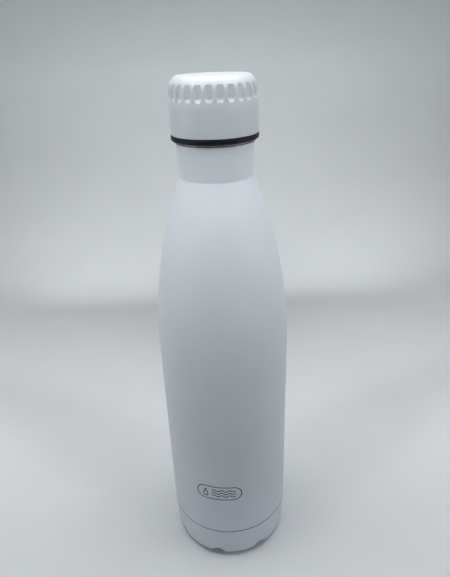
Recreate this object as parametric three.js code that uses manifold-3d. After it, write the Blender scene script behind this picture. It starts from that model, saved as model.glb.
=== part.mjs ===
// An insulated water bottle: a double-walled steel vacuum flask with a screw-in stopper.
// Millimetres, +Z up. The origin is the centre of the foot, and the front faces -Y.
import * as THREE from "three";
import { mergeVertices } from "three/addons/utils/BufferGeometryUtils.js";
import Module from "manifold-3d";

const wasm = await Module();
wasm.setup();

// ---- Driving dimensions ----
const ROUND_SEGMENTS = 36; // sides of the large round pieces
const SMALL_SEGMENTS = 18; // sides of the small ones
const GAP = 0.3; // kept between pieces that touch on the real bottle

const BODY_RADIUS = 39.5;
const OUTER_WALL = 0.5; // sheet thickness of the outer shell
const SEAM_HEIGHT = 25.5; // where the outer shell is welded to the base cup
const SHOULDER_START = 154; // the straight side ends here
const NECK_RADIUS = 20.1;
const NECK_BASE = 256.6; // the shoulder meets the neck here
const LIP = { radius: 20.7, top: 275.2, thickness: 0.6, flareHeight: 4 };

const FOOT = { sideRadius: 38.5, corner: 6, innerRadius: 29.5, innerChamfer: 1.2 };
const RECESS = { height: 5, dimpleRadius: 7, dimpleSlope: 1, dimpleRise: 2.4, portRadius: 1.6 };
const BASE_WALL = 0.7;
const COLLAR_HEIGHT = 4; // the base cup's collar reaches this far into the outer shell
const NOTCH = { count: 8, halfWidth: 10, height: 6.4, atRadius: 37.5, tilt: 20, firstAngle: -14.1 };
const NOTCH_SHEET = 1.3 * BASE_WALL; // measured straight up, so that an arch's steep sides are thick enough

const VACUUM_GAP = 3.9;
const LINER_WALL = 0.5;
const MOUTH_RADIUS = 16.6;
const LINER_SEAM = 42;
const LINER_FLOOR = 18;
const LINER_CORNER = 10;

// A ridge is a round bar wound on a helix, with its centre just outside the wall that carries it.
const THREAD = { lead: 6, ridge: 1.15, proud: 0.1, turns: 1.5, sides: 6, stepsPerTurn: 20, runOut: 0.12 };
const THREAD_BOTTOM = 256.5; // the plug's ridge starts here, and the liner's half a lead higher

const PLUG = { radius: 15, wall: 2, bottom: 252, top: 290, ceiling: 2 };
const SEAL = { inner: 16.2, outer: 20.9, thickness: 1.5, edge: 0.35 };
const FLANGE = { radius: 22.85, top: 277.85, lipInner: 21.2, bottom: 275.3, bevel: 1.1 };
const BARREL = { radius: 20.4, wall: 1.8, top: 289.5, floor: 279.4 };
const PLUG_FLOOR = { radius: 14.8, thickness: 1.1, chamfer: 0.5, spigotHeight: 2.2 };

const CAP = { radius: 22.5, top: 306, cornerWidth: 4.4, cornerHeight: 6.8, wall: 1.8, roof: 2.2, innerCorner: 4 };
const CAP_CORNER_POWER = 1.7; // 2 would be a quarter of an ellipse, and 1 a flat bevel
const FLUTE = { count: 26, radius: 2.3, depth: 1.1, lowerCentre: 296.35, firstAngle: -5.5 };

const BOTTOM_PLATE = { radius: 27.6, thickness: 0.8 };
const GETTER = { radius: 5.6, thickness: 2, rimRadius: 9, sheet: 0.4, windowRadius: 3 };

// ---- Outlines, as points in the (radius, height) plane ----
const at = (r, z) => new THREE.Vector2(r, z);
const radians = THREE.MathUtils.degToRad;

// An arc in the (radius, height) plane, with angles in degrees from the +radius direction.
function arc(centreR, centreZ, radius, from, to, steps) {
  const points = [];
  for (let i = 0; i <= steps; i++) {
    const angle = radians(from + ((to - from) * i) / steps);
    points.push(at(centreR + radius * Math.cos(angle), centreZ + radius * Math.sin(angle)));
  }
  return points;
}

// The shoulder is one arc, tangent to the straight side, that ends on the neck.
const SHOULDER_RISE = NECK_BASE - SHOULDER_START;
const SHOULDER_DROP = BODY_RADIUS - NECK_RADIUS;
const SHOULDER_RADIUS = (SHOULDER_RISE ** 2 + SHOULDER_DROP ** 2) / (2 * SHOULDER_DROP);
const SHOULDER_CENTRE = BODY_RADIUS - SHOULDER_RADIUS;

// The shoulder drawn `inset` inside the bottle's surface, up to a neck of the given radius.
function shoulder(inset, neckRadius) {
  const radius = SHOULDER_RADIUS - inset;
  const end = THREE.MathUtils.radToDeg(Math.acos((neckRadius - SHOULDER_CENTRE) / radius));
  return arc(SHOULDER_CENTRE, SHOULDER_START, radius, 0, end, 6);
}

// ---- Solids ----
// A solid of revolution about Z. The outline runs anticlockwise, from the axis back to the axis.
function turned(outline, segments = ROUND_SEGMENTS) {
  return new THREE.LatheGeometry(outline, segments).rotateX(Math.PI / 2);
}

// A ring-shaped solid of revolution: the outline closes on itself.
function turnedRing(outline, segments = ROUND_SEGMENTS) {
  return turned([...outline, outline[0].clone()], segments);
}

function disc(radius, bottom, top, segments = SMALL_SEGMENTS) {
  return turned([at(0, bottom), at(radius, bottom), at(radius, top), at(0, top)], segments);
}

function toSolid(geometry) {
  const bare = geometry.clone().deleteAttribute("normal").deleteAttribute("uv");
  const merged = mergeVertices(bare, 1e-3);
  const { position } = merged.attributes;
  const triVerts = new Uint32Array(merged.index.array);
  return new wasm.Manifold(new wasm.Mesh({ numProp: 3, vertProperties: position.array, triVerts }));
}

function toGeometry(solid) {
  const mesh = solid.getMesh();
  const geometry = new THREE.BufferGeometry();
  geometry.setAttribute("position", new THREE.BufferAttribute(mesh.vertProperties, 3));
  geometry.setIndex(new THREE.BufferAttribute(mesh.triVerts, 1));
  return geometry;
}

// Cuts `count` copies of a cutter, spaced evenly about Z, out of a solid.
function cutAround(solid, cutter, count) {
  let result = solid;
  for (let i = 0; i < count; i++) {
    result = result.subtract(cutter.rotate([0, 0, (360 * i) / count]));
  }
  return result;
}

// A right-handed helix about Z. Near its two ends it moves by `sink` into the wall that carries it.
class ThreadPath extends THREE.Curve {
  constructor(radius, bottom, sink) {
    super();
    this.radius = radius;
    this.bottom = bottom;
    this.sink = sink;
  }

  getPoint(t, target = new THREE.Vector3()) {
    const raised = Math.min(1, Math.min(t, 1 - t) / THREAD.runOut);
    const radius = this.radius + this.sink * (1 - raised);
    const angle = 2 * Math.PI * THREAD.turns * t;
    const height = this.bottom + THREAD.lead * THREAD.turns * t;
    return target.set(radius * Math.cos(angle), radius * Math.sin(angle), height);
  }
}

function threadRidge(radius, bottom, sink) {
  const section = new THREE.Shape();
  section.absarc(0, 0, THREAD.ridge, 0, 2 * Math.PI);
  const path = new ThreadPath(radius, bottom, sink);
  const steps = THREAD.turns * THREAD.stepsPerTurn;
  const curveSegments = THREAD.sides;
  return toSolid(new THREE.ExtrudeGeometry(section, { steps, curveSegments, extrudePath: path }));
}

// ---- Bottle ----
function outerShell() {
  const top = LIP.top - LIP.thickness - GAP;
  const wall = (inset) => [
    at(BODY_RADIUS - inset, SEAM_HEIGHT + GAP / 2),
    ...shoulder(inset, NECK_RADIUS - inset),
    at(NECK_RADIUS - inset, top - LIP.flareHeight),
    at(LIP.radius - inset, top),
  ];
  return turnedRing([...wall(0), ...wall(OUTER_WALL).reverse()]);
}

// The base cup's lower surface from the axis to the seam, drawn `inset` inside the sheet.
function cupSide(inset) {
  const ceiling = RECESS.height + inset;
  const innerWall = FOOT.innerRadius - FOOT.innerChamfer + inset;
  return [
    at(0, ceiling + RECESS.dimpleRise),
    at(RECESS.dimpleRadius - RECESS.dimpleSlope + inset, ceiling + RECESS.dimpleRise),
    at(RECESS.dimpleRadius + inset, ceiling),
    at(innerWall, ceiling),
    at(innerWall, FOOT.innerChamfer + inset / 2),
    at(FOOT.innerRadius + inset / 2, inset),
    ...arc(FOOT.sideRadius - FOOT.corner, FOOT.corner, FOOT.corner - inset, -90, 0, 4),
  ];
}

// An arched channel that runs out through the front of the foot and rises towards the side.
function notchCutter() {
  const length = 2 * (NOTCH.atRadius - FOOT.innerRadius + FOOT.corner);
  const steps = 8;
  const arch = new THREE.Shape();
  arch.moveTo(-NOTCH.halfWidth, -NOTCH.height);
  for (let i = 0; i <= steps; i++) {
    const across = (2 * i) / steps - 1;
    arch.lineTo(across * NOTCH.halfWidth, NOTCH.height * Math.cos((across * Math.PI) / 2) ** 2);
  }
  arch.lineTo(NOTCH.halfWidth, -NOTCH.height);
  const channel = new THREE.ExtrudeGeometry(arch, { depth: length, bevelEnabled: false });
  channel.translate(0, 0, -length / 2).rotateX(Math.PI / 2 - radians(NOTCH.tilt));
  channel.translate(0, -NOTCH.atRadius, 0).rotateZ(radians(NOTCH.firstAngle));
  return toSolid(channel);
}

function baseCup() {
  const seam = SEAM_HEIGHT - GAP / 2;
  const collarRadius = BODY_RADIUS - OUTER_WALL - GAP;
  const collarTop = SEAM_HEIGHT + COLLAR_HEIGHT;
  const outside = turned([
    ...cupSide(0),
    at(BODY_RADIUS, seam),
    at(collarRadius, seam),
    at(collarRadius, collarTop),
    at(0, collarTop),
  ]);
  const inside = turned([
    ...cupSide(BASE_WALL),
    at(collarRadius - BASE_WALL, seam - BASE_WALL),
    at(collarRadius - BASE_WALL, collarTop + COLLAR_HEIGHT),
    at(0, collarTop + COLLAR_HEIGHT),
  ]);
  const cutter = notchCutter();
  const port = toSolid(disc(RECESS.portRadius, 0, SEAM_HEIGHT));
  const body = cutAround(toSolid(outside), cutter, NOTCH.count);
  const hollow = cutAround(toSolid(inside), cutter.translate([0, 0, NOTCH_SHEET]), NOTCH.count);
  return toGeometry(body.subtract(hollow).subtract(port));
}

function bottomPlate() {
  const top = RECESS.height - GAP;
  return disc(BOTTOM_PLATE.radius, top - BOTTOM_PLATE.thickness, top, ROUND_SEGMENTS);
}

// A bead of braze under the evacuation port, with a stem that fills it.
function vacuumSeal() {
  const top = RECESS.height + RECESS.dimpleRise - GAP;
  const beadRadius = 2.2 * RECESS.portRadius;
  const stemRadius = RECESS.portRadius - GAP;
  const outline = [
    ...arc(0, top, beadRadius, -90, 0, 3).map((p) => at(p.x, top + (p.y - top) / 2)),
    at(stemRadius, top),
    at(stemRadius, top + BASE_WALL + 2 * GAP),
    at(0, top + BASE_WALL + 2 * GAP),
  ];
  return turned(outline, SMALL_SEGMENTS);
}

const LINER_INSET = OUTER_WALL + VACUUM_GAP; // from the bottle's surface to the liner's outer face
const LINER_RADIUS = BODY_RADIUS - LINER_INSET;

function innerLiner() {
  const outside = [
    at(LINER_RADIUS, LINER_SEAM + GAP / 2),
    ...shoulder(LINER_INSET, MOUTH_RADIUS + LINER_WALL),
    at(MOUTH_RADIUS + LINER_WALL, LIP.top - LIP.thickness),
    at(LIP.radius, LIP.top - LIP.thickness),
    at(LIP.radius, LIP.top),
  ];
  const inside = [
    at(LINER_RADIUS - LINER_WALL, LINER_SEAM + GAP / 2),
    ...shoulder(LINER_INSET + LINER_WALL, MOUTH_RADIUS),
    at(MOUTH_RADIUS, LIP.top - LIP.thickness),
    at(MOUTH_RADIUS + LIP.thickness, LIP.top),
  ];
  const wall = toSolid(turnedRing([...outside, ...inside.reverse()]));
  const ridge = threadRidge(MOUTH_RADIUS + THREAD.proud, THREAD_BOTTOM + THREAD.lead / 2, THREAD.ridge);
  const neckCore = toSolid(disc(MOUTH_RADIUS + LINER_WALL / 2, NECK_BASE, LIP.top, ROUND_SEGMENTS));
  return toGeometry(wall.add(ridge.intersect(neckCore)));
}

function linerBottom() {
  const top = LINER_SEAM - GAP / 2;
  const cornerCentre = LINER_RADIUS - LINER_CORNER;
  const cornerHeight = LINER_FLOOR + LINER_CORNER;
  return turned([
    at(0, LINER_FLOOR),
    ...arc(cornerCentre, cornerHeight, LINER_CORNER, -90, 0, 3),
    at(LINER_RADIUS, top),
    at(LINER_RADIUS - LINER_WALL, top),
    ...arc(cornerCentre, cornerHeight, LINER_CORNER - LINER_WALL, 0, -90, 3),
    at(0, LINER_FLOOR + LINER_WALL),
  ]);
}

// A dished ring, spot-welded under the liner, that holds the getter pill.
const RETAINER_TOP = LINER_FLOOR - GAP;
const RETAINER_FLOOR = RETAINER_TOP - GETTER.thickness - 2 * GAP;

function getterRetainer() {
  const pocket = GETTER.radius + GAP;
  const { sheet, rimRadius, windowRadius } = GETTER;
  const outline = [
    at(windowRadius, RETAINER_FLOOR - sheet),
    at(pocket + sheet, RETAINER_FLOOR - sheet),
    at(pocket + sheet, RETAINER_TOP - sheet),
    at(rimRadius, RETAINER_TOP - sheet),
    at(rimRadius, RETAINER_TOP),
    at(pocket, RETAINER_TOP),
    at(pocket, RETAINER_FLOOR),
    at(windowRadius, RETAINER_FLOOR),
  ];
  return turnedRing(outline, SMALL_SEGMENTS);
}

function getter() {
  const bottom = RETAINER_FLOOR + GAP;
  return disc(GETTER.radius, bottom, bottom + GETTER.thickness);
}

// ---- Seal and stopper ----
const SEAL_BOTTOM = LIP.top + GAP;
const SEAL_TOP = SEAL_BOTTOM + SEAL.thickness;

function sealRing() {
  const { inner, outer, edge } = SEAL;
  return turnedRing([
    at(inner + edge, SEAL_BOTTOM),
    at(outer - edge, SEAL_BOTTOM),
    at(outer, SEAL_BOTTOM + edge),
    at(outer, SEAL_TOP - edge),
    at(outer - edge, SEAL_TOP),
    at(inner + edge, SEAL_TOP),
    at(inner, SEAL_TOP - edge),
    at(inner, SEAL_BOTTOM + edge),
  ]);
}

// The black moulding: threaded plug, flange over the seal, and barrel that the cap is pressed onto.
function stopperBody() {
  const bore = PLUG.radius - PLUG.wall;
  const boss = SEAL.inner - GAP;
  const webBottom = SEAL_TOP + GAP;
  const outside = turned([
    at(0, PLUG.bottom),
    at(PLUG.radius, PLUG.bottom),
    at(PLUG.radius, SEAL_BOTTOM - (boss - PLUG.radius)),
    at(boss, SEAL_BOTTOM),
    at(boss, webBottom),
    at(FLANGE.lipInner, webBottom),
    at(FLANGE.lipInner, FLANGE.bottom),
    at(FLANGE.radius - FLANGE.bevel, FLANGE.bottom),
    at(FLANGE.radius, FLANGE.bottom + FLANGE.bevel),
    at(FLANGE.radius, FLANGE.top),
    at(BARREL.radius, FLANGE.top),
    at(BARREL.radius, BARREL.top),
    at(BARREL.radius - BARREL.wall, BARREL.top),
    at(BARREL.radius - BARREL.wall, BARREL.floor),
    at(PLUG.radius, BARREL.floor),
    at(PLUG.radius, PLUG.top),
    at(0, PLUG.top),
  ]);
  const hollow = disc(bore, PLUG.bottom - PLUG.wall, PLUG.top - PLUG.ceiling, ROUND_SEGMENTS);
  const ridge = threadRidge(PLUG.radius - THREAD.proud, THREAD_BOTTOM, -THREAD.ridge);
  return toGeometry(toSolid(outside).add(ridge).subtract(toSolid(hollow)));
}

const FLOOR_TOP = PLUG.bottom - GAP;
const SPIGOT_TOP = PLUG.bottom + PLUG_FLOOR.spigotHeight;

function stopperFloor() {
  const spigot = PLUG.radius - PLUG.wall - GAP;
  const bottom = FLOOR_TOP - PLUG_FLOOR.thickness;
  return turned([
    at(0, bottom),
    at(PLUG_FLOOR.radius - PLUG_FLOOR.chamfer, bottom),
    at(PLUG_FLOOR.radius, bottom + PLUG_FLOOR.chamfer),
    at(PLUG_FLOOR.radius, FLOOR_TOP),
    at(spigot, FLOOR_TOP),
    at(spigot, SPIGOT_TOP),
    at(0, SPIGOT_TOP),
  ]);
}

function foamInsert() {
  const radius = PLUG.radius - PLUG.wall - GAP;
  return disc(radius, SPIGOT_TOP + GAP, PLUG.top - PLUG.ceiling - GAP);
}

// The cap's upper edge: a tall quarter curve, a little flatter than an ellipse.
function capCorner(steps) {
  const points = [];
  for (let i = 0; i <= steps; i++) {
    const angle = radians((90 * i) / steps);
    const outwards = Math.cos(angle) ** (2 / CAP_CORNER_POWER);
    const upwards = Math.sin(angle) ** (2 / CAP_CORNER_POWER);
    points.push(at(CAP.radius - CAP.cornerWidth * (1 - outwards), CAP.top - CAP.cornerHeight * (1 - upwards)));
  }
  return points;
}

function capShell() {
  const bottom = FLANGE.top + GAP;
  const bore = CAP.radius - CAP.wall;
  const roof = CAP.top - CAP.roof;
  const shell = turned([
    at(0, roof),
    ...arc(bore - CAP.innerCorner, roof - CAP.innerCorner, CAP.innerCorner, 90, 0, 2),
    at(bore, bottom),
    at(CAP.radius, bottom),
    ...capCorner(6),
    at(0, CAP.top),
  ]);
  // a round-ended vertical cutter at the front, open through the top
  const height = CAP.top - FLUTE.lowerCentre;
  const cutter = new THREE.CapsuleGeometry(FLUTE.radius, height, 2, 10).rotateX(Math.PI / 2);
  cutter.translate(0, -(CAP.radius - FLUTE.depth + FLUTE.radius), FLUTE.lowerCentre + height / 2);
  cutter.rotateZ(radians(FLUTE.firstAngle));
  return toGeometry(cutAround(toSolid(shell), toSolid(cutter), FLUTE.count));
}

// ---- Assembly ----
const paint = { color: 0xd9dee6, roughness: 0.55, metalness: 0.0 };
const steel = { color: 0xb9b7b3, roughness: 0.32, metalness: 1.0 };
const braze = { color: 0x8f9090, roughness: 0.5, metalness: 1.0 };
const capPlastic = { color: 0xe9edf1, roughness: 0.35, metalness: 0.0 };
const blackPlastic = { color: 0x16171b, roughness: 0.4, metalness: 0.0 };
const silicone = { color: 0x35363a, roughness: 0.7, metalness: 0.0 };
const foam = { color: 0xf0efe8, roughness: 0.95, metalness: 0.0 };

function piece(name, geometry, finish) {
  const mesh = new THREE.Mesh(geometry, new THREE.MeshStandardMaterial(finish));
  mesh.name = name;
  return mesh;
}

const bottle = new THREE.Group();
bottle.add(
  piece("outer_shell", outerShell(), paint),
  piece("base_cup", baseCup(), paint),
  piece("bottom_plate", bottomPlate(), steel),
  piece("vacuum_seal", vacuumSeal(), braze),
  piece("inner_liner", innerLiner(), steel),
  piece("liner_bottom", linerBottom(), steel),
  piece("getter_retainer", getterRetainer(), steel),
  piece("getter", getter(), braze),
);

const stopper = new THREE.Group();
stopper.add(
  piece("stopper_body", stopperBody(), blackPlastic),
  piece("stopper_floor", stopperFloor(), blackPlastic),
  piece("foam_insert", foamInsert(), foam),
  piece("cap_shell", capShell(), capPlastic),
);

const waterBottle = new THREE.Group();
waterBottle.add(bottle, piece("seal_ring", sealRing(), silicone), stopper);

export default waterBottle;
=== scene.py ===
"""The looks of an insulated water bottle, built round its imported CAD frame. Outlines are in millimetres."""
import math

import bpy
from mathutils import Matrix, Vector


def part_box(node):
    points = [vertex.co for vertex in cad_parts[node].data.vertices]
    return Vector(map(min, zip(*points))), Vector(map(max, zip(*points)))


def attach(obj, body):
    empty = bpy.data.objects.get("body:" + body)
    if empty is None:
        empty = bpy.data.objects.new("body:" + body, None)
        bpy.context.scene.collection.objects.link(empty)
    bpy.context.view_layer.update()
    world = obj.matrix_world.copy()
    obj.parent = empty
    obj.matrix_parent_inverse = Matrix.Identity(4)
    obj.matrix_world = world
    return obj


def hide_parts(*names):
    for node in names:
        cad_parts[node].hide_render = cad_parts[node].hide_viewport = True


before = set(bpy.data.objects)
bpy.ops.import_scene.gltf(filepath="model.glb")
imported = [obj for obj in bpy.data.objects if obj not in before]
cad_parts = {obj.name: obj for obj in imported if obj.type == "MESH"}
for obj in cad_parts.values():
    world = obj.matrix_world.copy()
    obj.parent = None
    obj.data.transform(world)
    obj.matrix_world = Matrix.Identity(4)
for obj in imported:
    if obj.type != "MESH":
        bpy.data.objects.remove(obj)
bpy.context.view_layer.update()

MM = 0.001
TURN = 2 * math.pi
GAP = 0.3  # millimetres between pieces that touch on the real bottle


def extent(node):
    """Outer radius, bottom and top of a CAD node, in millimetres."""
    low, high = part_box(node)
    return max(high[0], -low[1]) / MM, low[2] / MM, high[2] / MM


# ---- Sizes in millimetres: where pieces start and end comes from the frame ----
BODY_RADIUS, SHELL_BOTTOM, SHELL_TOP = extent("outer_shell")
COLLAR_TOP = extent("base_cup")[2]
CUP_TOP = SHELL_BOTTOM - GAP
SEAM = SHELL_BOTTOM - GAP / 2
LINER_RADIUS, LINER_SEAM, LIP_TOP = extent("inner_liner")
LINER_FLOOR, LINER_BOTTOM_TOP = extent("liner_bottom")[1:]
SEAL_RADIUS, SEAL_BOTTOM, SEAL_TOP = extent("seal_ring")
FLANGE_RADIUS, PLUG_BOTTOM, PLUG_TOP = extent("stopper_body")
FLOOR_RADIUS, FLOOR_BOTTOM, SPIGOT_TOP = extent("stopper_floor")
CAP_RADIUS, CAP_BOTTOM, CAP_TOP = extent("cap_shell")
PLATE_RADIUS, PLATE_BOTTOM, PLATE_TOP = extent("bottom_plate")

# outer shell
SHELL_WALL = 0.5
SEAM_EDGE = 0.26  # rounding of the two edges that face each other across the seam
SHOULDER_START = 154  # the straight side ends here
NECK_RADIUS = 20.1
NECK_BASE = 256.6
NECK_FLARE = 4
LIP_RADIUS = 20.7
LIP_THICKNESS = 0.6

# base cup
CUP_WALL = 0.7
FOOT_SIDE = 38.5
FOOT_CORNER = 6
FOOT_INNER = 29.5
FOOT_CHAMFER = 1.2
RECESS = 5
DIMPLE_RADIUS = 7
DIMPLE_RISE = 2.4
PORT_RADIUS = 1.6
NOTCHES = 8
NOTCH_HALF_WIDTH = 10
NOTCH_HEIGHT = 6.4
NOTCH_RADIUS = 37.5
NOTCH_TILT = math.radians(20)
FIRST_NOTCH = math.radians(-14.1)
NOTCH_EDGE = 0.22  # softness of the edge round a notch
FOOT_STEP = 0.35  # spacing of the outline's points where the notches cut it

# liner
LINER_WALL = 0.5
LINER_CORNER = 10
MOUTH_RADIUS = 16.6

# screw thread
LEAD = 6
THREAD_TURNS = 1.5
THREAD_BOTTOM = 256.5
THREAD_HEIGHT = 1.05
THREAD_HALF_WIDTH = 1.0875  # at half the ridge's height
THREAD_FADE = 0.12  # share of the thread's length that fades at each end
THREAD_STEP = 0.25

# stopper
PLUG_RADIUS = 15
PLUG_WALL = 2
FLANGE_TOP = CAP_BOTTOM - GAP
FLANGE_BOTTOM = 275.3
FLANGE_LIP = 21.2
FLANGE_BEVEL = 0.7
BARREL_RADIUS = 20.4
BARREL_WALL = 1.8
BARREL_TOP = 289.5
BARREL_FLOOR = 279.4

# cap
CAP_WALL = 1.8
CAP_ROOF = 2.2
CAP_INNER_CORNER = 4
CAP_CORNER_WIDTH = 4.4
CAP_CORNER_HEIGHT = 6.8
CAP_CORNER_POWER = 1.7  # 2 would be a quarter of an ellipse, and 1 a flat bevel
FLUTES = 26
FLUTE_HALF_WIDTH = 2.05
FLUTE_DEPTH = 1.1
FLUTE_FOOT = 296.6  # below this height a flute's floor ramps out to the cap's surface
FLUTE_RAMP = 2.7
FLUTE_TAPER = 0.4  # share of its width that a flute loses along the ramp
FLUTE_LAG = 0.5  # how much later the ramp starts at a flute's sides, as a share of the ramp
FLUTE_SQUARENESS = 4  # 2 would be an elliptical section
FLUTE_EDGE = 0.05
FLUTE_STEP = 0.16
CREST_INSET = 0.2  # the crests between flutes stand this far inside the skirt
WAIST_BOTTOM = 292.2
WAIST_TOP = 294.8
FIRST_FLUTE = math.radians(-5.5)

FINE = 288  # segments round the large pieces


# ---- Outlines in the (radius, height) plane ----
def arc(centre_r, centre_z, radius, start, end, steps):
    """Points of an arc, with angles in degrees from the +radius direction."""
    points = []
    for i in range(steps + 1):
        angle = math.radians(start + (end - start) * i / steps)
        points.append((centre_r + radius * math.cos(angle), centre_z + radius * math.sin(angle)))
    return points


def fillet(before, corner, after, radius, steps):
    """The arc that rounds a corner between two straight runs."""
    here = Vector(corner)
    back = (Vector(before) - here).normalized()
    ahead = (Vector(after) - here).normalized()
    half = back.angle(ahead) / 2
    if math.pi / 2 - half < 0.01:
        return [corner]
    centre = here + (back + ahead).normalized() * (radius / math.sin(half))
    start = here + back * (radius / math.tan(half)) - centre
    end = here + ahead * (radius / math.tan(half)) - centre
    points = []
    for i in range(steps + 1):
        spoke = start.lerp(end, i / steps).normalized() * radius
        points.append(tuple(centre + spoke))
    return points


def rounded(corners, steps=5):
    """An outline from (radius, height) points and (radius, height, fillet) corners, in order."""
    points = []
    for i, corner in enumerate(corners):
        if len(corner) == 2:
            points.append(corner)
            continue
        before = corners[i - 1][:2]
        after = corners[(i + 1) % len(corners)][:2]
        points += fillet(before, corner[:2], after, corner[2], steps)
    return points


def finer(points, spacing, low=-1e9, high=1e9):
    """The outline with its runs between two heights cut into steps no longer than spacing."""
    result = [points[0]]
    for start, end in zip(points, points[1:]):
        length = math.dist(start, end)
        inside = max(start[1], end[1]) > low and min(start[1], end[1]) < high
        steps = max(1, math.ceil(length / spacing)) if inside else 1
        for i in range(1, steps + 1):
            result.append(tuple(a + (b - a) * i / steps for a, b in zip(start, end)))
    return result


def smooth_max(a, b, softness):
    """The larger of two values, with a soft change between them."""
    high = max(a, b)
    return high + softness * math.log1p(math.exp(-abs(a - b) / softness))


def smooth_min(a, b, softness):
    """The smaller of two values, with a soft change between them."""
    return -smooth_max(-a, -b, softness)


def smooth_step(t):
    """Eases from 0 to 1 as t does."""
    t = min(1, max(0, t))
    return t * t * (3 - 2 * t)


# ---- Meshes ----
def mesh_object(name, points, faces):
    mesh = bpy.data.meshes.new(name)
    mesh.from_pydata([Vector(p) * MM for p in points], [], faces)
    mesh.validate()
    mesh.shade_smooth()
    mesh.set_sharp_from_angle(angle=math.radians(50))
    piece = bpy.data.objects.new(name, mesh)
    bpy.context.scene.collection.objects.link(piece)
    return piece


def turned(name, *runs, segments=FINE):
    """A solid of revolution about Z.

    A run is an outline, or (outline, change) where change(r, z, angle) moves its points. The runs follow
    each other anticlockwise, from axis to axis or closing on themselves. Angles start at the front.
    """
    outline = []
    for run in runs:
        points, change = run if callable(run[1]) else (run, None)
        outline += [(r, z, change) for r, z in points]
    on_axis = outline[0][0] < 1e-6
    points, rows = [], []
    for r, z, change in outline:
        if r < 1e-6:
            rows.append([len(points)] * segments)
            points.append((0, 0, z))
            continue
        rows.append(list(range(len(points), len(points) + segments)))
        for i in range(segments):
            angle = TURN * i / segments
            new_r, new_z = change(r, z, angle) if change else (r, z)
            points.append((new_r * math.sin(angle), -new_r * math.cos(angle), new_z))
    faces = []
    for row, lower in enumerate(rows):
        if on_axis and row == len(rows) - 1:
            break
        upper = rows[(row + 1) % len(rows)]
        for i in range(segments):
            j = (i + 1) % segments
            corners = [lower[i], lower[j], upper[j], upper[i]]
            faces.append(list(dict.fromkeys(corners)))
    return mesh_object(name, points, faces)


# ---- Pieces of the bottle ----
RISE = NECK_BASE - SHOULDER_START
DROP = BODY_RADIUS - NECK_RADIUS
SHOULDER_RADIUS = (RISE ** 2 + DROP ** 2) / (2 * DROP)
SHOULDER_CENTRE = BODY_RADIUS - SHOULDER_RADIUS


def shoulder(inset, neck_radius):
    """The long curve from the straight side to a neck of the given radius, inset from the outer surface."""
    radius = SHOULDER_RADIUS - inset
    end = math.degrees(math.acos((neck_radius - SHOULDER_CENTRE) / radius))
    return arc(SHOULDER_CENTRE, SHOULDER_START, radius, 0, end, 64)


def outer_shell():
    def wall(inset, edge):
        side = shoulder(inset, NECK_RADIUS - inset)
        return [
            (BODY_RADIUS - inset, SHELL_BOTTOM, edge),
            *side[:-1],
            (*side[-1], 1.0),
            (NECK_RADIUS - inset, SHELL_TOP - NECK_FLARE, 4),
            (LIP_RADIUS - inset, SHELL_TOP, edge),
        ]

    return turned("outer_shell_painted", rounded(wall(0, SEAM_EDGE) + wall(SHELL_WALL, 0.1)[::-1]))


def notch_ceiling(r, angle):
    """Height of the nearest foot notch's arched ceiling, above the surface that the bottle stands on."""
    pitch = TURN / NOTCHES
    off = (angle - FIRST_NOTCH + pitch / 2) % pitch - pitch / 2
    across = min(abs(r * math.sin(off)), NOTCH_HALF_WIDTH)
    along = r * math.cos(off) - NOTCH_RADIUS
    arch = NOTCH_HEIGHT * math.cos(math.pi / 2 * across / NOTCH_HALF_WIDTH) ** 2
    return (arch + along * math.sin(NOTCH_TILT)) / math.cos(NOTCH_TILT)


def base_cup():
    def side(inset):
        ceiling = RECESS + inset
        inner = FOOT_INNER - FOOT_CHAMFER + inset
        return rounded([
            (0, ceiling + DIMPLE_RISE),
            (DIMPLE_RADIUS - 1 + inset, ceiling + DIMPLE_RISE, 0.6),
            (DIMPLE_RADIUS + inset, ceiling, 0.6),
            (inner, ceiling, 0.6),
            (inner, FOOT_CHAMFER + inset / 2, 0.5),
            (FOOT_INNER + inset / 2, inset, 0.5),
            *arc(FOOT_SIDE - FOOT_CORNER, FOOT_CORNER, FOOT_CORNER - inset, -90, 0, 24),
        ])

    def notched(sheet):
        def change(r, z, angle):
            if r < FOOT_INNER - 2 or z > 2 * NOTCH_HEIGHT:
                return r, z
            return r, smooth_max(z, notch_ceiling(r, angle) + sheet, NOTCH_EDGE)
        return change

    collar = BODY_RADIUS - SHELL_WALL - GAP
    outside = finer(side(0) + [(BODY_RADIUS, CUP_TOP - 0.5)], FOOT_STEP, 0, 2 * NOTCH_HEIGHT)
    inside = finer(side(CUP_WALL) + [(collar - CUP_WALL, CUP_TOP - CUP_WALL)], FOOT_STEP, 0, 2 * NOTCH_HEIGHT)
    outside[0] = (PORT_RADIUS, outside[0][1])
    inside[0] = (PORT_RADIUS, inside[0][1])
    rim = rounded([
        outside[-1],
        (BODY_RADIUS, CUP_TOP, SEAM_EDGE),
        (collar, CUP_TOP, 0.1),
        (collar, COLLAR_TOP, 0.2),
        (collar - CUP_WALL, COLLAR_TOP, 0.2),
        inside[-1],
    ])
    return turned(
        "base_cup_painted",
        (outside, notched(0)),
        rim[1:-1],
        (inside[::-1], notched(1.3 * CUP_WALL)),
        segments=NOTCHES * 48,
    )


def bottom_plate():
    edge = 0.25
    dish = 0.25
    rim = PLATE_RADIUS - 3
    return turned("bottom_plate_steel", rounded([
        (0, PLATE_BOTTOM + dish),
        (rim - 0.5, PLATE_BOTTOM + dish, 0.5),
        (rim, PLATE_BOTTOM, 0.5),
        (PLATE_RADIUS, PLATE_BOTTOM, edge),
        (PLATE_RADIUS, PLATE_TOP, edge),
        (0, PLATE_TOP),
    ]))


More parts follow.
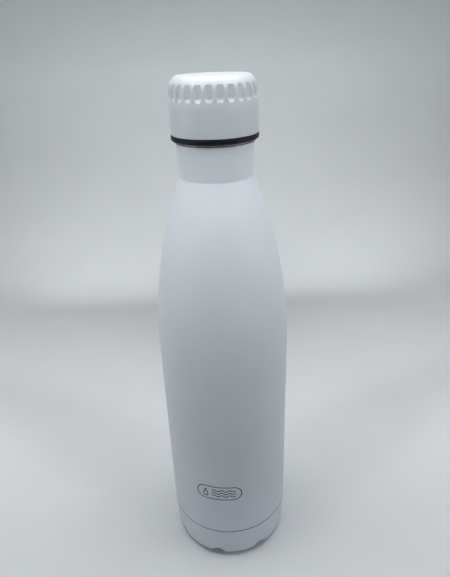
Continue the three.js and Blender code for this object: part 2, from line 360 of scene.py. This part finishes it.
def vacuum_seal():
    top = RECESS + DIMPLE_RISE - GAP
    bead = 2.2 * PORT_RADIUS
    stem = PORT_RADIUS - GAP
    stem_top = extent("vacuum_seal")[2]
    dome = [(r, top + (z - top) / 2) for r, z in arc(0, top, bead, -90, 0, 16)]
    outline = rounded([*dome, (stem, top, 0.1), (stem, stem_top, 0.3), (0, stem_top)])
    return turned("vacuum_seal_bead", outline, segments=64)


def thread(bottom, height):
    """A change for turned(): a right-handed ridge that stands out by height, and fades at both ends."""
    def change(r, z, angle):
        bump = 0
        for winding in range(math.ceil(THREAD_TURNS)):
            turns = (angle / TURN - 0.25) % 1 + winding
            along = turns / THREAD_TURNS
            if along > 1:
                continue
            fade = smooth_step(min(along, 1 - along) / THREAD_FADE)
            offset = abs(z - bottom - LEAD * turns) / THREAD_HALF_WIDTH
            bump = max(bump, fade / (1 + offset ** 6))
        return r + height * bump, z
    return change


def inner_liner():
    inset = BODY_RADIUS - LINER_RADIUS
    outer = shoulder(inset, MOUTH_RADIUS + LINER_WALL)
    inner = shoulder(inset + LINER_WALL, MOUTH_RADIUS)[::-1]
    lip = rounded([
        outer[-1],
        (MOUTH_RADIUS + LINER_WALL, LIP_TOP - LIP_THICKNESS, 0.3),
        (LIP_RADIUS, LIP_TOP - LIP_THICKNESS, 0.25),
        (LIP_RADIUS, LIP_TOP, 0.25),
        (MOUTH_RADIUS, LIP_TOP, 0.8),
        inner[0],
    ])
    bore = finer(lip[-2:], THREAD_STEP)
    return turned(
        "inner_liner_steel",
        [(LINER_RADIUS, LINER_SEAM), *outer[:-1], *lip[:-2]],
        (bore, thread(THREAD_BOTTOM + LEAD / 2, -THREAD_HEIGHT)),
        [*inner[1:], (LINER_RADIUS - LINER_WALL, LINER_SEAM)],
    )


def liner_bottom():
    centre = LINER_RADIUS - LINER_CORNER
    height = LINER_FLOOR + LINER_CORNER
    return turned("liner_bottom_steel", [
        (0, LINER_FLOOR),
        *arc(centre, height, LINER_CORNER, -90, 0, 20),
        (LINER_RADIUS, LINER_BOTTOM_TOP),
        (LINER_RADIUS - LINER_WALL, LINER_BOTTOM_TOP),
        *arc(centre, height, LINER_CORNER - LINER_WALL, 0, -90, 20),
        (0, LINER_FLOOR + LINER_WALL),
    ])


def getter_retainer():
    rim, bottom, top = extent("getter_retainer")
    pocket = extent("getter")[0] + GAP
    sheet = 0.4
    window = 3
    return turned("getter_retainer_steel", rounded([
        (window, bottom, 0.15),
        (pocket + sheet, bottom, 0.6),
        (pocket + sheet, top - sheet, 0.3),
        (rim, top - sheet, 0.15),
        (rim, top, 0.15),
        (pocket, top, 0.6),
        (pocket, bottom + sheet, 0.3),
        (window, bottom + sheet, 0.15),
    ]), segments=96)


def pill(name, node, edge):
    """A disc with rounded edges, as large as a CAD node."""
    radius, bottom, top = extent(node)
    outline = [(0, bottom), (radius, bottom, edge), (radius, top, edge), (0, top)]
    return turned(name, rounded(outline), segments=96)


# ---- Pieces of the stopper ----
def seal_ring():
    inner = PLUG_RADIUS + 1.2
    edge = 0.5
    return turned("seal_ring_silicone", rounded([
        (inner, SEAL_BOTTOM, edge),
        (SEAL_RADIUS, SEAL_BOTTOM, edge),
        (SEAL_RADIUS, SEAL_TOP, edge),
        (inner, SEAL_TOP, edge),
    ]))


def stopper_body():
    bore = PLUG_RADIUS - PLUG_WALL
    boss = PLUG_RADIUS + 0.9
    web = SEAL_TOP + GAP
    ceiling = PLUG_TOP - PLUG_WALL
    hollow = [(0, ceiling), (bore, ceiling, 1), (bore, PLUG_BOTTOM), (PLUG_RADIUS, PLUG_BOTTOM, 0.3)]
    flange = [
        (boss, SEAL_BOTTOM, 0.3),
        (boss, web, 0.2),
        (FLANGE_LIP, web, 0.2),
        (FLANGE_LIP, FLANGE_BOTTOM, 0.2),
        (FLANGE_RADIUS - FLANGE_BEVEL, FLANGE_BOTTOM, 0.3),
        (FLANGE_RADIUS, FLANGE_BOTTOM + FLANGE_BEVEL, 0.3),
        (FLANGE_RADIUS, FLANGE_TOP, 0.2),
        (BARREL_RADIUS, FLANGE_TOP, 0.1),
    ]
    inner_barrel = BARREL_RADIUS - BARREL_WALL
    barrel = [
        (BARREL_RADIUS, BARREL_TOP, 0.3),
        (inner_barrel, BARREL_TOP, 0.3),
        (inner_barrel, BARREL_FLOOR, 0.5),
        (PLUG_RADIUS, BARREL_FLOOR, 0.5),
        (PLUG_RADIUS, PLUG_TOP, 0.5),
        (0, PLUG_TOP),
    ]
    plug_side = [(PLUG_RADIUS, PLUG_BOTTOM + 0.5), (PLUG_RADIUS, SEAL_BOTTOM - 1)]
    return turned(
        "stopper_body_plastic",
        rounded([*hollow, plug_side[0]])[:-1],
        (finer(plug_side, THREAD_STEP), thread(THREAD_BOTTOM, THREAD_HEIGHT)),
        rounded([plug_side[1], *flange, *barrel])[1:],
    )


def stopper_floor():
    top = PLUG_BOTTOM - GAP
    spigot = PLUG_RADIUS - PLUG_WALL - GAP
    dish = 0.3
    return turned("stopper_floor_plastic", rounded([
        (0, FLOOR_BOTTOM + dish),
        (FLOOR_RADIUS - 4, FLOOR_BOTTOM + dish, 0.6),
        (FLOOR_RADIUS - 3.5, FLOOR_BOTTOM, 0.6),
        (FLOOR_RADIUS, FLOOR_BOTTOM, 0.5),
        (FLOOR_RADIUS, top, 0.15),
        (spigot, top, 0.1),
        (spigot, SPIGOT_TOP, 0.2),
        (0, SPIGOT_TOP),
    ]))


def fluted(r, z, angle):
    """Moves a point of the cap's surface inwards, where the grip is waisted and where a flute cuts it."""
    waist = CREST_INSET * smooth_step((z - WAIST_BOTTOM) / (WAIST_TOP - WAIST_BOTTOM))
    pitch = TURN / FLUTES
    off = (angle - FIRST_FLUTE + pitch / 2) % pitch - pitch / 2
    aside = abs(CAP_RADIUS * off) / FLUTE_HALF_WIDTH
    down = min(1, max(0, (FLUTE_FOOT - z) / FLUTE_RAMP))
    across = aside / max((1 - FLUTE_TAPER * down) * math.sqrt(1 - down ** 2), 1e-6)
    squareness = FLUTE_SQUARENESS * (1 - down) + 2 * down
    ramp = smooth_step(down - FLUTE_LAG * aside ** 2)
    depth = FLUTE_DEPTH * (1 - ramp) * math.sqrt(max(0, 1 - across ** squareness))
    return smooth_min(r - waist, CAP_RADIUS - depth, FLUTE_EDGE), z


def cap_corner(steps):
    """The cap's upper edge: a tall quarter curve, a little flatter than an ellipse."""
    points = []
    for i in range(steps + 1):
        angle = math.pi / 2 * i / steps
        outwards = math.cos(angle) ** (2 / CAP_CORNER_POWER)
        upwards = math.sin(angle) ** (2 / CAP_CORNER_POWER)
        r = CAP_RADIUS - CAP_CORNER_WIDTH * (1 - outwards)
        z = CAP_TOP - CAP_CORNER_HEIGHT * (1 - upwards)
        points.append((r, z))
    return points


def cap_shell():
    bore = CAP_RADIUS - CAP_WALL
    roof = CAP_TOP - CAP_ROOF
    inside = [
        (0, roof),
        *arc(bore - CAP_INNER_CORNER, roof - CAP_INNER_CORNER, CAP_INNER_CORNER, 90, 0, 12),
        (bore, CAP_BOTTOM, 0.2),
        (CAP_RADIUS, CAP_BOTTOM, 0.4),
        (CAP_RADIUS, CAP_BOTTOM + 1),
    ]
    grip = (CAP_RADIUS, WAIST_BOTTOM)
    outside = finer([grip, *cap_corner(64), (0, CAP_TOP)], FLUTE_STEP, WAIST_BOTTOM, CAP_TOP - 0.5)
    return turned("cap_shell_plastic", rounded(inside)[:-1], (outside, fluted), segments=FLUTES * 24)


# ---- Printed mark: a capsule with a drop and three waves, in thin ink on the front of the shell ----
MARK_WIDTH = 30
MARK_HEIGHT = 11.4
MARK_CENTRE = 61.2
MARK_ANGLE = math.radians(-10.2)
MARK_LINE = 0.65
INK = 0.03
DROP_CENTRE = -8.9  # left of the mark's centre
DROP_HALF_WIDTH = 2.2
DROP_HALF_HEIGHT = 3.2
WAVE_START = DROP_CENTRE + 4.2
WAVE_REACH = 15.5
WAVE_LENGTH = 5.1
WAVE_HEIGHT = 0.65
WAVE_SPACING = 2.3


def on_shell(across, up, proud):
    """A point of the mark, wrapped round the straight side of the shell."""
    angle = MARK_ANGLE + across / BODY_RADIUS
    r = BODY_RADIUS + proud
    return r * math.sin(angle), -r * math.cos(angle), MARK_CENTRE + up


def stroke(path, width, closed):
    """Points and faces of one line of ink that follows a path in the plane of the mark."""
    count = len(path)
    points = []
    for i, here in enumerate(path):
        before = path[i - 1] if closed or i else here
        after = path[(i + 1) % count] if closed or i < count - 1 else here
        along = (Vector(after) - Vector(before)).normalized()
        side = Vector((-along.y, along.x)) * (width / 2)
        for offset in (side, -side):
            for proud in (-INK, INK):
                points.append(on_shell(*(Vector(here) + offset), proud))
    ring = [0, 1, 3, 2]
    faces = []
    for i in range(count if closed else count - 1):
        start, end = 4 * i, 4 * ((i + 1) % count)
        for a, b in zip(ring, ring[1:] + ring[:1]):
            faces.append([start + a, start + b, end + b, end + a])
    if not closed:
        faces.append(ring[::-1])
        faces.append([4 * (count - 1) + corner for corner in ring])
    return points, faces


def mark_paths():
    """The mark's lines, as (path, closed)."""
    radius = MARK_HEIGHT / 2 - MARK_LINE / 2
    reach = MARK_WIDTH / 2 - MARK_HEIGHT / 2
    top = [(reach - 2 * reach * i / 24, radius) for i in range(1, 24)]
    bottom = [(-x, -y) for x, y in top]
    yield [*arc(reach, 0, radius, -90, 90, 24), *top, *arc(-reach, 0, radius, 90, 270, 24), *bottom], True
    drop = []
    for i in range(48):
        t = TURN * i / 48
        across = DROP_HALF_WIDTH * math.sin(t) * math.sin(t / 2) ** 2
        drop.append((DROP_CENTRE + across, DROP_HALF_HEIGHT * math.cos(t)))
    yield drop, True
    for level in (-WAVE_SPACING, 0, WAVE_SPACING):
        wave = []
        for i in range(61):
            x = WAVE_REACH * i / 60
            wave.append((WAVE_START + x, level + WAVE_HEIGHT * math.sin(TURN * x / WAVE_LENGTH)))
        yield wave, False


def printed_mark():
    points, faces = [], []
    for path, closed in mark_paths():
        new_points, new_faces = stroke(path, MARK_LINE, closed)
        faces += [[corner + len(points) for corner in face] for face in new_faces]
        points += new_points
    return mesh_object("printed_mark", points, faces)


# ---- Finishes ----
class Finish:
    """A material with one Principled shader, and short calls for the nodes that vary it."""

    def __init__(self, name, **values):
        self.material = bpy.data.materials.new(name)
        self.material.use_nodes = True
        self.tree = self.material.node_tree
        self.shader = self.tree.nodes["Principled BSDF"]
        for socket, value in values.items():
            self.shader.inputs[socket.replace("_", " ")].default_value = value
        self.place = self.node("ShaderNodeTexCoord").outputs["Object"]

    def node(self, kind, links=(), **settings):
        """A node with its settings, and with its inputs linked or set from (socket, value) pairs."""
        node = self.tree.nodes.new(kind)
        for setting, value in settings.items():
            setattr(node, setting, value)
        for socket, value in links:
            if isinstance(value, bpy.types.NodeSocket):
                self.tree.links.new(value, node.inputs[socket])
            else:
                node.inputs[socket].default_value = value
        return node

    def maths(self, operation, a, b=0.0):
        return self.node("ShaderNodeMath", [(0, a), (1, b)], operation=operation).outputs[0]

    def noise(self, size_mm, detail=2.0, place=None):
        """Even noise with features of about that size."""
        links = [("Vector", place or self.place), ("Scale", 1 / (size_mm * MM)), ("Detail", detail)]
        return self.node("ShaderNodeTexNoise", links).outputs["Fac"]

    def spread(self, value, low, high, start=0.3, end=0.7):
        """The value, stretched so that start becomes low and end becomes high."""
        links = [("Value", value), ("From Min", start), ("From Max", end), ("To Min", low), ("To Max", high)]
        return self.node("ShaderNodeMapRange", links).outputs["Result"]

    def blend(self, factor, first, second):
        """A colour between two colours."""
        node = self.node("ShaderNodeMix", [("Factor", factor)], data_type="RGBA")
        for socket, colour in zip((node.inputs[6], node.inputs[7]), (first, second)):
            if isinstance(colour, bpy.types.NodeSocket):
                self.tree.links.new(colour, socket)
            else:
                socket.default_value = (*colour, 1)
        return node.outputs[2]

    def bump(self, height, depth_mm, strength=1.0, under=None):
        links = [("Height", height), ("Distance", depth_mm * MM), ("Strength", strength)]
        if under:
            links.append(("Normal", under))
        return self.node("ShaderNodeBump", links).outputs["Normal"]

    def height(self):
        return self.node("ShaderNodeSeparateXYZ", [(0, self.place)]).outputs["Z"]

    def radius(self):
        """Distance from the bottle's axis."""
        flat = self.node("ShaderNodeVectorMath", [(0, self.place), (1, (1, 1, 0))], operation="MULTIPLY")
        return self.node("ShaderNodeVectorMath", [(0, flat.outputs[0])], operation="LENGTH").outputs["Value"]

    def rings(self, size_mm):
        """Noise drawn out into rings round the axis, as turning and brushing leave them."""
        place = self.node("ShaderNodeCombineXYZ", [("X", self.radius()), ("Y", self.height())])
        return self.noise(size_mm, 3.0, place.outputs[0])

    def finish(self, colour=None, roughness=None, normal=None):
        for socket, value in (("Base Color", colour), ("Roughness", roughness), ("Normal", normal)):
            if value is not None:
                self.tree.links.new(value, self.shader.inputs[socket])
        return self.material


def body_paint():
    """Matte white powder coat: a fine grain over a soft orange peel, faint handling marks, rubbed foot, and
    painted shade along the seam.
    """
    paint = Finish("body_paint", Specular_IOR_Level=0.35)
    cloud = paint.spread(paint.noise(38, 3), 0, 1)
    colour = paint.blend(cloud, (0.67, 0.70, 0.755), (0.705, 0.735, 0.79))
    speck = paint.spread(paint.noise(0.7, 1), 0, 1, 0.68, 0.78)
    colour = paint.blend(paint.maths("MULTIPLY", speck, 0.10), colour, (0.45, 0.46, 0.5))
    low = paint.spread(paint.height(), 1, 0, 0.0003, 0.0035)
    rubbed = paint.maths("MULTIPLY", low, paint.spread(paint.noise(2.2, 4), 0, 0.5, 0.42, 0.68))
    colour = paint.blend(rubbed, colour, (0.36, 0.36, 0.37))
    # Painted shade: within a few tenths of a millimetre of the seam the paint turns near black, standing in
    # for the shade inside the seam's groove.
    off_seam = paint.maths("ABSOLUTE", paint.maths("SUBTRACT", paint.height(), SEAM * MM))
    seam_shade = paint.spread(off_seam, 1, 0, 0.0002, 0.0004)
    colour = paint.blend(paint.maths("MULTIPLY", seam_shade, 0.93), colour, (0.03, 0.028, 0.04))
    handled = paint.spread(paint.noise(14, 4), 0.46, 0.6)
    peel = paint.bump(paint.noise(1.1, 1), 0.02, 0.5)
    grain = paint.bump(paint.noise(0.22, 2), 0.012, 0.6, peel)
    return paint.finish(colour, handled, grain)


def cap_plastic():
    """White moulded plastic with a satin sheen, coloured a light grey darker than the plastic: painted shade
    that offsets the strong beams on the stopper.
    """
    plastic = Finish("cap_plastic", Specular_IOR_Level=0.5, Subsurface_Weight=0.05, Subsurface_Scale=0.001)
    cloud = plastic.spread(plastic.noise(11, 2), 0, 1)
    # Painted shade: these greys are darker than white plastic, so that the cap looks less lit under the beams
    # that shine on it.
    colour = plastic.blend(cloud, (0.54, 0.57, 0.61), (0.57, 0.60, 0.64))
    satin = plastic.spread(plastic.noise(3.5, 4), 0.34, 0.46)
    flow = plastic.bump(plastic.noise(3, 1), 0.015, 0.3)
    texture = plastic.bump(plastic.noise(0.12, 2), 0.004, 0.5, flow)
    return plastic.finish(colour, satin, texture)


def black_plastic():
    """Black moulded plastic with a fine spark-eroded texture."""
    plastic = Finish("black_plastic", Specular_IOR_Level=0.22)
    cloud = plastic.spread(plastic.noise(4, 3), 0, 1)
    colour = plastic.blend(cloud, (0.003, 0.0032, 0.006), (0.006, 0.0065, 0.011))
    satin = plastic.spread(plastic.noise(1.5, 3), 0.3, 0.44)
    texture = plastic.bump(plastic.noise(0.15, 2), 0.01, 0.5)
    return plastic.finish(colour, satin, texture)


def silicone():
    """Milky grey silicone rubber."""
    rubber = Finish("silicone", Subsurface_Weight=0.3, Subsurface_Scale=0.001, Specular_IOR_Level=0.4)
    colour = rubber.blend(rubber.spread(rubber.noise(5, 2), 0, 1), (0.55, 0.56, 0.58), (0.64, 0.65, 0.66))
    matte = rubber.spread(rubber.noise(0.8, 3), 0.45, 0.62)
    return rubber.finish(colour, matte, rubber.bump(rubber.noise(0.2, 2), 0.01, 0.4))


def liner_steel():
    """Stainless steel with the fine rings that turning and polishing leave, coloured darker and browner than
    bare steel as painted shade for the lip under the stopper's flange.
    """
    steel = Finish("liner_steel", Metallic=1.0)
    rings = steel.rings(0.12)
    # Painted shade: the bare steel lip is real, but these colours are darker and browner than stainless, to
    # stand in for the shade under the stopper's flange.
    colour = steel.blend(steel.spread(steel.noise(9, 3), 0, 1), (0.36, 0.32, 0.28), (0.46, 0.42, 0.38))
    satin = steel.spread(rings, 0.28, 0.46)
    return steel.finish(colour, satin, steel.bump(rings, 0.006, 0.4))


def plate_steel():
    """Steel disc with concentric brushing and a few cross scratches."""
    steel = Finish("plate_steel", Metallic=1.0)
    rings = steel.rings(0.2)
    colour = steel.blend(steel.spread(rings, 0, 1), (0.42, 0.41, 0.4), (0.6, 0.59, 0.58))
    satin = steel.spread(steel.noise(2.5, 4), 0.28, 0.5)
    return steel.finish(colour, satin, steel.bump(rings, 0.015, 0.5))


def braze():
    """Dull filler metal with a frozen, lumpy surface."""
    metal = Finish("braze", Metallic=1.0)
    lumps = metal.noise(0.9, 4)
    colour = metal.blend(metal.spread(lumps, 0, 1), (0.26, 0.26, 0.28), (0.42, 0.41, 0.4))
    return metal.finish(colour, metal.spread(lumps, 0.4, 0.65), metal.bump(lumps, 0.1, 0.6))


def foam():
    """Closed-cell foam."""
    cells = Finish("foam", Specular_IOR_Level=0.2)
    place = [("Vector", cells.place), ("Scale", 1 / (0.7 * MM))]
    walls = cells.node("ShaderNodeTexVoronoi", place).outputs["Distance"]
    colour = cells.blend(cells.spread(walls, 0, 1, 0.1, 0.8), (0.86, 0.85, 0.8), (0.72, 0.71, 0.66))
    return cells.finish(colour, cells.spread(walls, 0.85, 0.98, 0.1, 0.8), cells.bump(walls, 0.2, 0.7))


def ink():
    """Dark printing ink, slightly uneven in its layer."""
    layer = Finish("ink", Specular_IOR_Level=0.2)
    colour = layer.blend(layer.spread(layer.noise(0.9, 3), 0, 1), (0.006, 0.004, 0.012), (0.018, 0.014, 0.03))
    satin = layer.spread(layer.noise(0.5, 2), 0.35, 0.6)
    return layer.finish(colour, satin, layer.bump(layer.noise(0.2, 2), 0.01))


def floor_finish():
    """Plain pale studio board."""
    board = Finish("floor", Specular_IOR_Level=0.25)
    colour = board.blend(board.spread(board.noise(60, 3), 0, 1), (0.81, 0.84, 0.86), (0.83, 0.86, 0.88))
    matte = board.spread(board.noise(4, 3), 0.5, 0.62)
    return board.finish(colour, matte, board.bump(board.noise(0.8, 2), 0.01, 0.3))


# ---- Assembly: (piece, finish, body, CAD nodes it stands for) ----
FINISHES = {make.__name__: make() for make in (
    body_paint, cap_plastic, black_plastic, silicone, liner_steel, plate_steel, braze, foam,
)}


def dress(piece, slot, body, *nodes):
    """Gives a piece its finish and body, and hides the CAD nodes that it stands for."""
    piece.data.materials.append(FINISHES[slot])
    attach(piece, body)
    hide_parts(*nodes)


dress(outer_shell(), "body_paint", "bottle", "outer_shell")
dress(base_cup(), "body_paint", "bottle", "base_cup")
dress(bottom_plate(), "plate_steel", "bottle", "bottom_plate")
dress(vacuum_seal(), "braze", "bottle", "vacuum_seal")
dress(inner_liner(), "liner_steel", "bottle", "inner_liner")
dress(liner_bottom(), "liner_steel", "bottle", "liner_bottom")
dress(getter_retainer(), "liner_steel", "bottle", "getter_retainer")
dress(pill("getter_pill", "getter", 0.3), "braze", "bottle", "getter")
dress(seal_ring(), "silicone", "seal", "seal_ring")
dress(stopper_body(), "black_plastic", "stopper", "stopper_body")
dress(stopper_floor(), "black_plastic", "stopper", "stopper_floor")
dress(pill("foam_insert_block", "foam_insert", 0.8), "foam", "stopper", "foam_insert")
dress(cap_shell(), "cap_plastic", "stopper", "cap_shell")

mark = printed_mark()
mark.data.materials.append(ink())
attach(mark, "bottle")


# ---- Studio ----
def studio_floor():
    """A round floor that curves up into a low wall on every side."""
    wall_radius, curve, wall_top, board = 680, 280, 700, 10
    points = [(0, 0), *arc(wall_radius - curve, curve, curve, -90, 0, 40), (wall_radius, wall_top)]
    underside = arc(wall_radius - curve, curve, curve + board, 0, -90, 40)
    back = [(wall_radius + board, wall_top), *underside, (0, -board)]
    floor = turned("studio_floor", [*back[::-1], *points[::-1]], segments=96)
    floor.data.materials.append(floor_finish())


def lamp(kind, name, position, target, watts):
    """A lamp that shines from a position towards a target, in metres, and can't be seen itself."""
    light = bpy.data.lights.new(name, kind)
    light.energy = watts
    holder = bpy.data.objects.new(name, light)
    holder.location = position
    holder.rotation_mode = "QUATERNION"
    holder.rotation_quaternion = (Vector(target) - Vector(position)).to_track_quat("-Z", "Y")
    holder.visible_camera = False
    bpy.context.scene.collection.objects.link(holder)
    return light


def softbox(name, position, target, width, depth, watts, spread=180):
    """A rectangular lamp. Its light spreads over an angle in degrees."""
    light = lamp("AREA", name, position, target, watts)
    light.shape = "RECTANGLE"
    light.size, light.size_y = width, depth
    light.spread = math.radians(spread)


def beam(name, position, target, angle, watts):
    """A cone of light with a soft edge, as wide as the angle in degrees."""
    light = lamp("SPOT", name, position, target, watts)
    light.spot_size = math.radians(angle)
    light.spot_blend = 1
    light.shadow_soft_size = 0.12


def studio_light():
    """A softbox overhead, beams on the stopper and shoulder, and weak light on the sides and the wall."""
    world = bpy.data.worlds.new("studio_world")
    world.use_nodes = True
    world.node_tree.nodes["Background"].inputs["Color"].default_value = (0.92, 0.97, 1.0, 1)
    world.node_tree.nodes["Background"].inputs["Strength"].default_value = 0.01
    bpy.context.scene.world = world
    softbox("overhead", (0, 0, 0.63), (0, 0, 0), 0.6, 0.25, 1.0, spread=110)
    softbox("back_wall", (0, 0.28, 0.1), (0, 0.68, 0.2), 0.5, 0.1, 0.5, spread=140)
    for side in (-1, 1):
        beam("beam", (0.25 * side, -0.25, 0.62), (0, 0, 0.35), 26, 7.2)
        beam("shoulder_beam", (0.3 * side, -0.2, 0.62), (0, 0, 0.26), 12, 14)
        softbox("side_fill", (0.48 * side, -0.1, 0.25), (0, 0, 0.05), 0.3, 0.25, 0.26)
        softbox("back_fill", (0.5 * side, 0.4, 0.45), (0, 0, 0.1), 0.4, 0.4, 0.12)


def camera():
    """The camera stands in front and above, and looks down with a slight roll."""
    distance, height = 0.26407, 0.31872
    pitch, roll, yaw = 26.295, -2.185, 0.475
    lens = bpy.data.cameras.new("camera")
    lens.sensor_width = 36
    lens.lens = 30.79
    lens.clip_start, lens.clip_end = 0.01, 10
    view = bpy.data.objects.new("camera", lens)
    turn = Matrix.Rotation(math.radians(-yaw), 4, "Z")
    tilt = Matrix.Rotation(math.radians(90 - pitch), 4, "X")
    lean = Matrix.Rotation(math.radians(roll), 4, "Z")
    view.matrix_world = Matrix.Translation((0, -distance, height)) @ turn @ tilt @ lean
    bpy.context.scene.collection.objects.link(view)
    bpy.context.scene.camera = view


bpy.context.scene.view_settings.view_transform = "Standard"
studio_floor()
studio_light()
camera()
